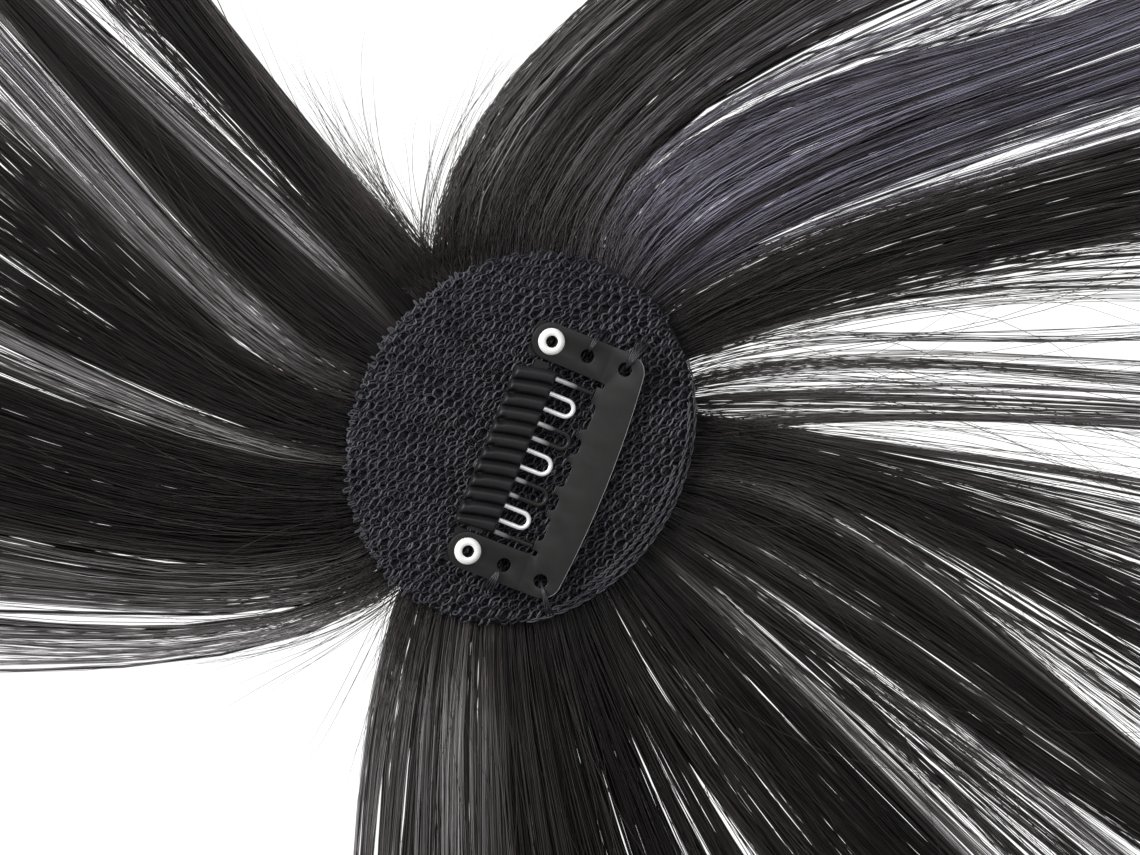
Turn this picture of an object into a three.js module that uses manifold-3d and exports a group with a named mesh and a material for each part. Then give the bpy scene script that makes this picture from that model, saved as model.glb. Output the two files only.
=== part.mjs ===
// Clip-in bangs: a fringe of hair on an oval net base, lying flat with its snap clip upwards.
// Millimetres, +Z up. The origin is on the surface it lies on, under the middle of the base.
import * as THREE from "three";
import { mergeVertices } from "three/addons/utils/BufferGeometryUtils.js";
import Module from "manifold-3d";

const wasm = await Module();
wasm.setup();

// Clearance between separate pieces.
const GAP = 0.3;

// Net base: an oval of knitted net, pillowed over the hair sewn under it.
const BASE_LENGTH = 48.4;
const BASE_WIDTH = 41.8;
const BASE_TURN = 58;
const NET_WALL = 1.2;
const NET_EDGE_TOP = 4.6;
const NET_RISE = 2.6;
const NET_ROUNDNESS = 4;
const NET_HEM = 1.5;
const MESH_PITCH = 3.6;
const MESH_GAP_WIDTH = 2.36;
const MESH_TURN = 50;
const NET_STEPS = 72;

// Hair: locks that fan out from the weft rows under the base.
const HAIR_REACH = 152;
const WEFT_INSET = 1.6;
const LOCK_ROOT_INSET = 9;
const LOCK_THICKNESS = 3.6;
const LOCK_ROOT_THICKNESS = 2.8;
const LOCK_TIP_THICKNESS = 0.7;
const ROOT_FAN_SHARE = 1.4;
const TIP_FAN_SHARE = 0.82;
const STRIP_OVERLAP_SHARE = 1.25;
const TIP_STAGGER_SHARE = 0.035;
const EDGE_RADIUS = 55;

// Snap clip: a sewn bar, two arms bent up from it, and a comb between them.
const CLIP_PLACE = [3.07, -2.7];
const CLIP_TURN = -21.8;
const CLIP_LENGTH = 32;
const STEEL = 0.6;
const BAR_INNER = 2.5;
const BAR_END_OUTER = 7.5;
const BAR_MIDDLE_OUTER = 8.2;
const BAR_CORNER = 2.5;
const POCKET_DEPTH = 0.9;
const SEWING_HOLE = 1.7;
const SEWING_HOLE_SHIFT = 0.2;
const ARM_WIDTH = 4.6;
const ARM_REACH = 10.1;
const ARM_LIFT = 12;
const ARM_HOLE_REACH = 2.85;

// Rivets through the ends of the arms.
const RIVET_REACH = 7.75;
const RIVET_SPAN = CLIP_LENGTH - ARM_WIDTH;
const RIVET_HEAD = 3.3;
const RIVET_HEAD_HEIGHT = 0.4;
const RIVET_FOOT = 2.8;
const RIVET_BORE = 1.2;
const RIVET_WALL = 0.3;

// Comb: a meander of narrow legs, with a ribbed grip on its root.
const COMB_STEEL = 0.5;
const LEG_WIDTH = 0.58;
const COMB_BACK = 3.1;
const SHORT_TOOTH = 6.1;
const LONG_TOOTH = 7.1;
const TAB_LENGTH = 4.2;
const GRIP_BACK = 2.95;
const GRIP_FRONT = 2.2;
const GRIP_WALL = 0.5;
const RIB_HEIGHT = 0.6;

const rad = THREE.MathUtils.degToRad;

// A closed mesh as a solid that can be joined and cut.
function solid(geometry) {
  const bare = geometry.clone();
  bare.deleteAttribute("normal");
  bare.deleteAttribute("uv");
  const merged = mergeVertices(bare, 1e-4);
  return new wasm.Manifold(
    new wasm.Mesh({
      numProp: 3,
      vertProperties: merged.attributes.position.array,
      triVerts: new Uint32Array(merged.index.array),
    }),
  );
}

function geometryOf(made) {
  const mesh = made.getMesh();
  const geometry = new THREE.BufferGeometry();
  geometry.setAttribute("position", new THREE.BufferAttribute(mesh.vertProperties, 3));
  geometry.setIndex(new THREE.BufferAttribute(mesh.triVerts, 1));
  geometry.computeVertexNormals();
  return geometry;
}

// Rings of points, each as long as the last, skinned into one closed tube with flat ends.
function loft(rings) {
  const count = rings[0].length;
  const points = rings.flat();
  const faces = [];
  for (let ring = 0; ring < rings.length - 1; ring++) {
    for (let i = 0; i < count; i++) {
      const next = (i + 1) % count;
      const [a, b] = [ring * count + i, ring * count + next];
      faces.push(a, b, b + count, a, b + count, a + count);
    }
  }
  const last = (rings.length - 1) * count;
  for (let i = 1; i < count - 1; i++) {
    faces.push(0, i + 1, i, last, last + i, last + i + 1);
  }
  const geometry = new THREE.BufferGeometry();
  geometry.setAttribute("position", new THREE.Float32BufferAttribute(points.flat(), 3));
  geometry.setIndex(faces);
  return geometry;
}

function plate(shape, thickness, curveSegments = 5) {
  return new THREE.ExtrudeGeometry(shape, { depth: thickness, bevelEnabled: false, curveSegments });
}

function hole(x, y, radius) {
  return new THREE.Path().absarc(x, y, radius, 0, 2 * Math.PI, true);
}

// Distance from the middle of the base to its edge in one direction.
function edgeOfBase(angle) {
  const along = (BASE_WIDTH / 2) * Math.cos(angle - rad(BASE_TURN));
  const across = (BASE_LENGTH / 2) * Math.sin(angle - rad(BASE_TURN));
  return (BASE_LENGTH * BASE_WIDTH) / 4 / Math.hypot(along, across);
}

// Height of the net's upper side over a point of the base.
function netTop(x, y) {
  const share = Math.hypot(x, y) / edgeOfBase(Math.atan2(y, x));
  return NET_EDGE_TOP + NET_RISE * (1 - Math.min(share, 1) ** NET_ROUNDNESS);
}

const NET_SEAT = NET_EDGE_TOP + NET_RISE;

// Directed edges of a flat triangulation, each with its triangle and that triangle's third corner.
function edgesOf(triangles) {
  const edges = new Map();
  triangles.forEach(([a, b, c], index) => {
    edges.set(`${a} ${b}`, [index, a, b, c]);
    edges.set(`${b} ${c}`, [index, b, c, a]);
    edges.set(`${c} ${a}`, [index, c, a, b]);
  });
  return edges;
}

// Swaps the long diagonals of a flat triangulation for short ones, so that it can be domed smoothly.
function evenOut(points, triangles) {
  const angleAt = (corner, one, other) => {
    const a = points[one].clone().sub(points[corner]);
    const b = points[other].clone().sub(points[corner]);
    return Math.abs(Math.atan2(a.cross(b), a.dot(b)));
  };
  for (let changed = true; changed; ) {
    changed = false;
    const edges = edgesOf(triangles);
    const touched = new Set();
    for (const [one, a, b, c] of edges.values()) {
      const twin = edges.get(`${b} ${a}`);
      if (!twin || touched.has(one) || touched.has(twin[0])) continue;
      const [other, , , d] = twin;
      if (angleAt(c, a, b) + angleAt(d, a, b) < Math.PI + 1e-6) continue;
      triangles[one] = [a, d, c];
      triangles[other] = [d, b, c];
      touched.add(one).add(other);
      changed = true;
    }
  }
}

// A sheet of one thickness whose upper side follows a height over the plan.
function domedSheet(outline, gaps, thickness, topOf) {
  const points = [outline, ...gaps].flat();
  const triangles = THREE.ShapeUtils.triangulateShape(outline, gaps);
  evenOut(points, triangles);
  const tops = points.map(({ x, y }) => [x, y, topOf(x, y)]);
  const bottoms = tops.map(([x, y, z]) => [x, y, z - thickness]);
  const under = points.length;
  const faces = [];
  const edges = edgesOf(triangles);
  for (const [a, b, c] of triangles) faces.push(a, b, c, under + a, under + c, under + b);
  for (const [, a, b] of edges.values()) {
    if (edges.has(`${b} ${a}`)) continue;
    faces.push(under + a, under + b, b, under + a, b, a);
  }
  const geometry = new THREE.BufferGeometry();
  const positions = [...tops, ...bottoms].flat();
  geometry.setAttribute("position", new THREE.Float32BufferAttribute(positions, 3));
  geometry.setIndex(faces);
  return geometry;
}

function netBase() {
  const outline = [];
  for (let i = 0; i < NET_STEPS; i++) {
    const angle = (2 * Math.PI * i) / NET_STEPS;
    const reach = edgeOfBase(angle);
    outline.push(new THREE.Vector2(reach * Math.cos(angle), reach * Math.sin(angle)));
  }
  const gaps = [];
  const corner = MESH_GAP_WIDTH / Math.sqrt(3);
  const rows = Math.ceil(BASE_LENGTH / MESH_PITCH);
  for (let row = -rows; row <= rows; row++) {
    for (let column = -rows; column <= rows; column++) {
      const along = (column + (row % 2 ? 0.5 : 0)) * MESH_PITCH;
      const across = (row * MESH_PITCH * Math.sqrt(3)) / 2;
      const place = new THREE.Vector2(along, across).rotateAround(new THREE.Vector2(), rad(MESH_TURN));
      if (place.length() > edgeOfBase(place.angle()) - NET_HEM - corner) continue;
      const gap = [];
      for (let side = 0; side < 6; side++) {
        const turn = rad(MESH_TURN + 90 - 60 * side);
        gap.push(new THREE.Vector2(corner * Math.cos(turn), corner * Math.sin(turn)).add(place));
      }
      gaps.push(gap);
    }
  }
  return domedSheet(outline, gaps, NET_WALL, netTop);
}

// The weft rows under the net: a low cushion with a flat underside, in rings from its foot to its middle.
const WEFT_STEPS = 36;
const WEFT_RINGS = [0.93, 1, 0.85, 0.6, 0.3, 0.05];
function weft() {
  const rings = WEFT_RINGS.map((share, level) => {
    const ring = [];
    for (let i = 0; i < WEFT_STEPS; i++) {
      const angle = (2 * Math.PI * i) / WEFT_STEPS;
      const reach = (edgeOfBase(angle) - WEFT_INSET) * share;
      const [x, y] = [reach * Math.cos(angle), reach * Math.sin(angle)];
      ring.push([x, y, level ? netTop(x, y) - NET_WALL - GAP : 0]);
    }
    return ring;
  });
  return solid(loft(rings));
}

// Locks, counter-clockwise from the right. Directions and spread in degrees: at the root, where it
// leaves the base, at EDGE_RADIUS, and at the tip. Strips: how many wisps it parts into.
const LOCKS = [
  // root, edge, tip, spread, strips, thickness share, reach share
  [17, 11, 3, 15, 3, 0.5, 0.94],
  [42, 29, 19, 11, 2, 0.8, 0.97],
  [63, 47, 36, 19, 3, 1.0, 1.0],
  [93, 78, 67, 30, 4, 1.0, 0.98],
  [130, 127, 123, 9.5, 2, 1.0, 0.97],
  [149, 144.5, 141, 10, 2, 0.9, 1.0],
  [166, 157, 150, 13, 2, 0.8, 0.96],
  [188, 178, 171, 19, 3, 0.9, 0.99],
  [214, 200.5, 193, 20, 3, 1.0, 0.97],
  [252, 259, 262, 22, 3, 0.85, 0.98],
  [281, 282, 283, 22, 3, 1.0, 1.0],
  [306, 305.5, 304, 22, 3, 1.0, 0.96],
  [324, 322.5, 321, 9, 2, 0.5, 0.93],
  [339, 337, 333, 14, 2, 0.9, 0.99],
  [356, 352, 347, 14, 2, 0.9, 0.96],
];

// Section of a strip, as shares of its half width and height, with a flat underside.
const STRIP_SECTION = [
  [-1, 0.3],
  [-0.6, 0],
  [0.6, 0],
  [1, 0.3],
  [0.45, 1],
  [-0.45, 1],
];

// Stations along a strip: share of the way, width share, height share.
const STRIP_STATIONS = [
  // way, width, height
  [0, 0.8, 0],
  [0.08, 1, 0.1],
  [0.18, 1, 1],
  [0.32, 1, 1],
  [0.5, 1, 0.9],
  [0.68, 0.95, 0.7],
  [0.86, 0.72, 0.35],
  [1, 0.12, 0],
];

// Value on the parabola through three values at the root, at EDGE_RADIUS and at the tip.
function turned(root, edge, tip, way, edgeWay) {
  const rootPart = ((way - edgeWay) * (way - 1)) / edgeWay;
  const edgePart = (way * (way - 1)) / (edgeWay * (edgeWay - 1));
  const tipPart = (way * (way - edgeWay)) / (1 - edgeWay);
  return root * rootPart + edge * edgePart + tip * tipPart;
}

function strip([root, edge, tip, spread, strips, thick, reachShare], index) {
  const side = strips > 1 ? (2 * index) / (strips - 1) - 1 : 0;
  const start = Math.min(BASE_LENGTH, BASE_WIDTH) / 2 - LOCK_ROOT_INSET;
  const stagger = 1 - TIP_STAGGER_SHARE * ((index * 2 + strips) % 3);
  const reach = HAIR_REACH * reachShare * stagger;
  const edgeWay = (EDGE_RADIUS - start) / (reach - start);
  const fanned = (way) => spread * turned(ROOT_FAN_SHARE, 1, TIP_FAN_SHARE, way, edgeWay);
  const centre = (way) => {
    const radius = start + (reach - start) * way;
    const offset = side * 0.5 * (1 - 1 / strips) * fanned(way);
    const angle = rad(turned(root, edge, tip, way, edgeWay) + offset);
    return new THREE.Vector2(radius * Math.cos(angle), radius * Math.sin(angle));
  };
  const rings = STRIP_STATIONS.map(([way, width, height]) => {
    const place = centre(way);
    const heading = centre(way + 0.01).sub(centre(way - 0.01)).normalize();
    const half = ((place.length() * rad(fanned(way))) / strips / 2) * STRIP_OVERLAP_SHARE * width;
    const low = way < 0.15 ? LOCK_ROOT_THICKNESS : LOCK_TIP_THICKNESS;
    const high = low + (LOCK_THICKNESS * thick - low) * height;
    return STRIP_SECTION.map(([across, up]) => [
      place.x - heading.y * half * across,
      place.y + heading.x * half * across,
      high * up,
    ]);
  });
  return solid(loft(rings));
}

function hair() {
  let whole = weft();
  for (const lock of LOCKS) {
    for (let index = 0; index < lock[4]; index++) whole = whole.add(strip(lock, index));
  }
  return geometryOf(whole);
}

const CLIP_HALF = CLIP_LENGTH / 2;
const ARM_INNER = CLIP_HALF - ARM_WIDTH;

// Pockets in the bar's inner edge that the comb's teeth close over, as shares of ARM_INNER.
const POCKETS = [
  // middle, half width
  [0.605, 0.15],
  [0.26, 0.088],
  [-0.061, 0.14],
  [-0.386, 0.088],
  [-0.689, 0.136],
];

function barShape() {
  const shape = new THREE.Shape();
  shape.moveTo(BAR_INNER, CLIP_HALF);
  for (const [middle, half] of POCKETS.map((row) => row.map((share) => share * ARM_INNER))) {
    shape.lineTo(BAR_INNER, middle + half);
    const deep = BAR_INNER + POCKET_DEPTH;
    const round = Math.min(half, POCKET_DEPTH) * 0.6;
    shape.lineTo(deep - round, middle + half);
    shape.quadraticCurveTo(deep, middle + half, deep, middle + half - round);
    shape.lineTo(deep, middle - half + round);
    shape.quadraticCurveTo(deep, middle - half, deep - round, middle - half);
    shape.lineTo(BAR_INNER, middle - half);
  }
  shape.lineTo(BAR_INNER, -CLIP_HALF);
  shape.lineTo(BAR_END_OUTER - BAR_CORNER, -CLIP_HALF);
  shape.quadraticCurveTo(BAR_END_OUTER, -CLIP_HALF, BAR_END_OUTER, -CLIP_HALF + BAR_CORNER);
  const bow = 2 * BAR_MIDDLE_OUTER - BAR_END_OUTER;
  shape.quadraticCurveTo(bow, 0, BAR_END_OUTER, CLIP_HALF - BAR_CORNER);
  shape.quadraticCurveTo(BAR_END_OUTER, CLIP_HALF, BAR_END_OUTER - BAR_CORNER, CLIP_HALF);
  shape.closePath();
  for (const end of [-1, 1]) {
    const middle = (BAR_INNER + BAR_END_OUTER) / 2;
    shape.holes.push(hole(middle, end * (CLIP_HALF - ARM_WIDTH / 2 + SEWING_HOLE_SHIFT), SEWING_HOLE / 2));
  }
  return shape;
}

// One arm, with x measured back from the crease along the arm.
function armShape(end) {
  const inner = end * ARM_INNER;
  const middle = end * (CLIP_HALF - ARM_WIDTH / 2);
  const radius = ARM_WIDTH / 2;
  const shape = new THREE.Shape();
  shape.moveTo(STEEL / 2, end > 0 ? inner : end * CLIP_HALF);
  shape.lineTo(STEEL / 2, end > 0 ? CLIP_HALF : inner);
  shape.lineTo(radius - ARM_REACH, middle + radius);
  shape.absarc(radius - ARM_REACH, middle, radius, Math.PI / 2, 1.5 * Math.PI, false);
  shape.closePath();
  shape.holes.push(hole(-RIVET_REACH, (end * RIVET_SPAN) / 2, RIVET_BORE / 2 + RIVET_WALL + GAP));
  shape.holes.push(hole(-ARM_HOLE_REACH, middle, SEWING_HOLE / 2));
  return shape;
}

function clipFrame() {
  let whole = solid(plate(barShape(), STEEL));
  for (const end of [-1, 1]) {
    const arm = plate(armShape(end), STEEL);
    arm.rotateY(rad(ARM_LIFT));
    arm.translate(BAR_INNER + STEEL / 2, 0, 0);
    whole = whole.add(solid(arm));
  }
  return geometryOf(whole);
}

// Legs of the comb, from one end to the other, as shares of ARM_INNER.
const LEG_SHARES = [
  [0.851, 0.684, 0.509, 0.342, 0.175, 0.035],
  [-0.158, -0.298, -0.474, -0.605, -0.772, -0.904],
].flat();
const LEGS = LEG_SHARES.map((share) => share * ARM_INNER);

// The comb as one strip that runs to and fro, about the line through the rivets.
function combPlate() {
  const route = [];
  const turnSteps = 5;
  LEGS.forEach((y, i) => {
    const outward = i % 2 === 1;
    const next = LEGS[i + 1];
    const long = i % 4 === 3 || i % 4 === 0;
    const front = long && i > 0 && i < LEGS.length - 1 ? LONG_TOOTH : SHORT_TOOTH;
    if (i === 0) route.push([front - LEG_WIDTH, y]);
    if (next === undefined) {
      route.push([front - LEG_WIDTH, y]);
      return;
    }
    const radius = (y - next) / 2;
    const centre = outward ? front - radius - LEG_WIDTH / 2 : radius + LEG_WIDTH / 2 - COMB_BACK;
    for (let step = 0; step <= turnSteps; step++) {
      const turn = (Math.PI * step) / turnSteps;
      const swing = radius * Math.sin(turn);
      route.push([centre + (outward ? swing : -swing), (y + next) / 2 + radius * Math.cos(turn)]);
    }
  });
  const sides = [[], []];
  route.forEach(([x, y], i) => {
    const before = route[Math.max(i - 1, 0)];
    const after = route[Math.min(i + 1, route.length - 1)];
    const heading = new THREE.Vector2(after[0] - before[0], after[1] - before[1]).normalize();
    const half = LEG_WIDTH / 2;
    sides[0].push([x - heading.y * half, y + heading.x * half]);
    sides[1].push([x + heading.y * half, y - heading.x * half]);
  });
  const outline = [...sides[1], ...sides[0].reverse()].map(([x, y]) => new THREE.Vector2(x, y));
  let whole = solid(plate(new THREE.Shape(outline), COMB_STEEL));
  for (const [end, leg] of [
    [1, LEGS[0]],
    [-1, LEGS[LEGS.length - 1]],
  ]) {
    const reach = ARM_INNER - GAP - Math.abs(leg);
    const neck = new THREE.BoxGeometry(LEG_WIDTH * 3, reach, COMB_STEEL);
    neck.translate(0, leg + (end * reach) / 2, COMB_STEEL / 2);
    whole = whole.add(solid(neck));
  }
  return geometryOf(whole);
}

// A strip with one round rib over each leg of the comb, extruded along the legs.
function gripStrip() {
  const half = ARM_INNER - GAP - LEG_WIDTH / 2;
  const ribs = LEGS.length;
  const ribSteps = 4;
  const shape = new THREE.Shape();
  shape.moveTo(-half, 0);
  shape.lineTo(half, 0);
  for (let i = 0; i < ribs; i++) {
    for (let step = 0; step <= ribSteps; step++) {
      if (i && !step) continue;
      const across = half - ((i + step / ribSteps) * 2 * half) / ribs;
      shape.lineTo(across, GRIP_WALL + RIB_HEIGHT * Math.sin((Math.PI * step) / ribSteps));
    }
  }
  shape.closePath();
  const geometry = plate(shape, GRIP_BACK + GRIP_FRONT);
  geometry.rotateX(Math.PI / 2);
  geometry.rotateZ(Math.PI / 2);
  geometry.translate(-GRIP_BACK, 0, 0);
  return geometryOf(solid(geometry));
}

// An end of the comb under an arm, about its rivet.
function combTab(end) {
  const inner = ARM_INNER - RIVET_SPAN / 2;
  const outer = CLIP_HALF - GAP - RIVET_SPAN / 2;
  const [low, high] = end > 0 ? [inner, outer] : [-outer, -inner];
  const shape = new THREE.Shape();
  shape.moveTo(-TAB_LENGTH / 2, low);
  shape.lineTo(TAB_LENGTH / 2, low);
  shape.lineTo(TAB_LENGTH / 2, high);
  shape.lineTo(-TAB_LENGTH / 2, high);
  shape.closePath();
  shape.holes.push(hole(0, 0, RIVET_BORE / 2 + RIVET_WALL + GAP));
  return plate(shape, COMB_STEEL);
}

// An eyelet rivet: a head on the arm, a hollow shank, and a foot under the comb's tab.
const TAB_TOP = -GAP;
const FOOT_TOP = TAB_TOP - COMB_STEEL - GAP;
function rivet() {
  const bore = RIVET_BORE / 2;
  const shank = bore + RIVET_WALL;
  const head = STEEL + GAP;
  const foot = FOOT_TOP - RIVET_WALL;
  const profile = [
    [bore, foot],
    [RIVET_FOOT / 2, foot],
    [RIVET_FOOT / 2, FOOT_TOP],
    [shank, FOOT_TOP],
    [shank, head],
    [RIVET_HEAD / 2, head],
    [RIVET_HEAD / 2, head + RIVET_HEAD_HEIGHT / 2],
    [RIVET_HEAD / 2 - RIVET_WALL, head + RIVET_HEAD_HEIGHT],
    [bore + RIVET_WALL / 2, head + RIVET_HEAD_HEIGHT],
    [bore, head + RIVET_HEAD_HEIGHT / 2],
    [bore, foot],
  ].map(([r, z]) => new THREE.Vector2(r, z));
  const geometry = new THREE.LatheGeometry(profile, 14);
  geometry.rotateX(Math.PI / 2);
  return geometryOf(solid(geometry));
}

function finish(color, roughness, metalness = 0) {
  return new THREE.MeshStandardMaterial({ color, roughness, metalness, flatShading: true });
}

function piece(name, geometry, material, parent, place = [0, 0, 0]) {
  const mesh = new THREE.Mesh(geometry, material);
  mesh.name = name;
  mesh.position.set(...place);
  parent.add(mesh);
  return mesh;
}

const bangs = new THREE.Group();
piece("hair", hair(), finish(0x231f1e, 0.45), bangs);
piece("net_base", netBase(), finish(0x35363f, 0.7), bangs);

const clip = new THREE.Group();
clip.position.set(...CLIP_PLACE, NET_SEAT + GAP);
clip.rotation.z = rad(CLIP_TURN);
bangs.add(clip);
piece("clip_frame", clipFrame(), finish(0x2f2d2c, 0.3, 0.8), clip);

// The arms' plane, with its origin on the line through the rivets, at the arms' underside.
const arms = new THREE.Group();
arms.rotation.y = rad(ARM_LIFT);
arms.position.set(BAR_INNER + STEEL / 2, 0, 0);
clip.add(arms);
const comb = new THREE.Group();
comb.position.x = -RIVET_REACH;
arms.add(comb);

const combSteel = finish(0xb4b4b2, 0.25, 0.9);
const combBottom = (STEEL - COMB_STEEL) / 2;
piece("comb_plate", combPlate(), combSteel, comb, [0, 0, combBottom]);
const gripBottom = combBottom + COMB_STEEL + GAP;
piece("grip_strip", gripStrip(), finish(0x3f3f42, 0.6), comb, [0, 0, gripBottom]);
for (const [side, end] of [
  ["top", 1],
  ["bottom", -1],
]) {
  const y = (end * RIVET_SPAN) / 2;
  piece(`comb_tab_${side}`, combTab(end), combSteel, comb, [0, y, TAB_TOP - COMB_STEEL]);
  piece(`rivet_${side}`, rivet(), finish(0xe8e8e6, 0.3, 0.7), comb, [0, y, 0]);
}

export default bangs;
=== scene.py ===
"""Clip-in bangs lying clip side up: hair fanned out from an oval net base with a snap clip sewn on it."""

import math

import bmesh
import bpy
import numpy as np
from mathutils import Matrix, Vector


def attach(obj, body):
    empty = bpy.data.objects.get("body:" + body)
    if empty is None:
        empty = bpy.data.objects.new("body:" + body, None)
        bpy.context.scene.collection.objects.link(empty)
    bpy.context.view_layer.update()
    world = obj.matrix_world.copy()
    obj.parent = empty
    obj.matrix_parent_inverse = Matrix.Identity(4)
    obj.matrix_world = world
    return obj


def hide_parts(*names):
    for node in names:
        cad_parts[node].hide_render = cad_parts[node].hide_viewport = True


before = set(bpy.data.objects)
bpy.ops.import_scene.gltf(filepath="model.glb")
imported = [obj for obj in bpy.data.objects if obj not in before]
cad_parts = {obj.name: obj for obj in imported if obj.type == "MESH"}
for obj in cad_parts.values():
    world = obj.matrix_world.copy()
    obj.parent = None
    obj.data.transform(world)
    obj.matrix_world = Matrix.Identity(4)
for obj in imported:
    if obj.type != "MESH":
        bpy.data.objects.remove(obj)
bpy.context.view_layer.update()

# The view: straight above, with the top of the picture towards +Y, as the photograph was taken.
# The photograph shows the 32 mm clip 261 px long, so 8.15 px to the millimetre at the base.
MM = 0.001
PX_PER_MM = 8.15
IMAGE = (1140, 855)
BASE_PX = (520, 438)
BASE_HEIGHT = 6


def in_scene(name, data):
    """A new object, put into the scene."""
    thing = bpy.data.objects.new(name, data)
    bpy.context.scene.collection.objects.link(thing)
    return thing


camera = in_scene("camera", bpy.data.cameras.new("camera"))
camera.data.lens = 100
camera.data.sensor_width = 36
camera.data.clip_start = 0.02
view_width = IMAGE[0] / PX_PER_MM
camera.location = (
    (IMAGE[0] / 2 - BASE_PX[0]) / PX_PER_MM * MM,
    (BASE_PX[1] - IMAGE[1] / 2) / PX_PER_MM * MM,
    (BASE_HEIGHT + view_width * camera.data.lens / camera.data.sensor_width) * MM,
)
bpy.context.scene.camera = camera

# The hair: straight dark brown strands, tied in rows on weft under the base and fanned out flat.
# It parts into locks and wisps, with loose strands that cross the open gaps between them.
rng = np.random.default_rng(7)
HAIR_REACH = 150
STRAND_WIDTH = 0.15
STRAND_STATIONS = 12
STRAND_SIDES = 3
STRAND_TAPER = ([0, 0.7, 1], [1, 0.85, 0.3])
ROOTS_FROM, ROOTS_TO = 1, 19
TIPS_NEAR_REACH = (11, 1.1)
WISP_SPACING = 1.8
WISP_GROUPS = 5
WISP_GATHERS = ([20, 25, 36, 56], [0, 0.25, 0.8, 1])
LOCK_RISE = ([8, 24, 36, 62, 110, 150], [0.6, 0.9, 1, 0.95, 0.6, 0.22])
CORE_SHARE = 0.34
CORE_LAYER = 0.12
CORE_TONE = 0.13
CORE_WIDTH = 3.2
HIGHLIGHT_STRAND_SHARE = 0.06
PAINTED_HIGHLIGHT_LIFT = 0.35
STRAY_TONE = (0.5, 0.0, 0.5, 1)
FAN_FROM = 18
BORDER_GIVE = 0.4
FLOW_RADII = [24.5, 37, 61, HAIR_REACH]
UNDER_NET = ([0, 18, 24, 30], [1.6, 2.2, 3.0, 9])
PARTING, DENSITY, HEIGHT, TONE_AND_SHEEN, BLUE_SHEEN = range(4, 9)
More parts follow.
